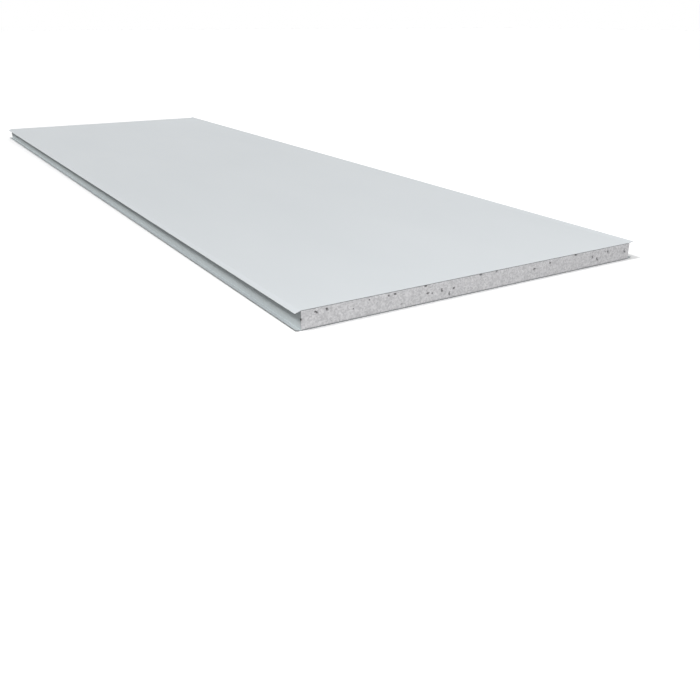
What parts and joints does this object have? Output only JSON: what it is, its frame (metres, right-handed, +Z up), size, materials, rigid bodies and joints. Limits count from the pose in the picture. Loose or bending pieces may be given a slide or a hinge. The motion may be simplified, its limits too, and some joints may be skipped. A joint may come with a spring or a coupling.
{
  "type": "sandwich panel",
  "caption": "Flat building panel: a foam core glued between two thin white coated steel skins whose bent lips run past the core along both long sides.",
  "frame": {"origin": "middle of the underside, which is the flat face of the lower skin", "axes": "+X across the width, +Y along the length away from the cut end that the picture shows, +Z up through the thickness"},
  "size_m": [1.15, 3.6, 0.053],
  "materials": {
    "foam": "cut expanded polystyrene, pale grey, finely granular with small voids",
    "coated_steel": "smooth coil-coated steel, cool off-white, low sheen"
  },
  "bodies": {
    "root": {"core": "foam", "top_skin": "coated_steel", "bottom_skin": "coated_steel"}
  },
  "joints": []
}
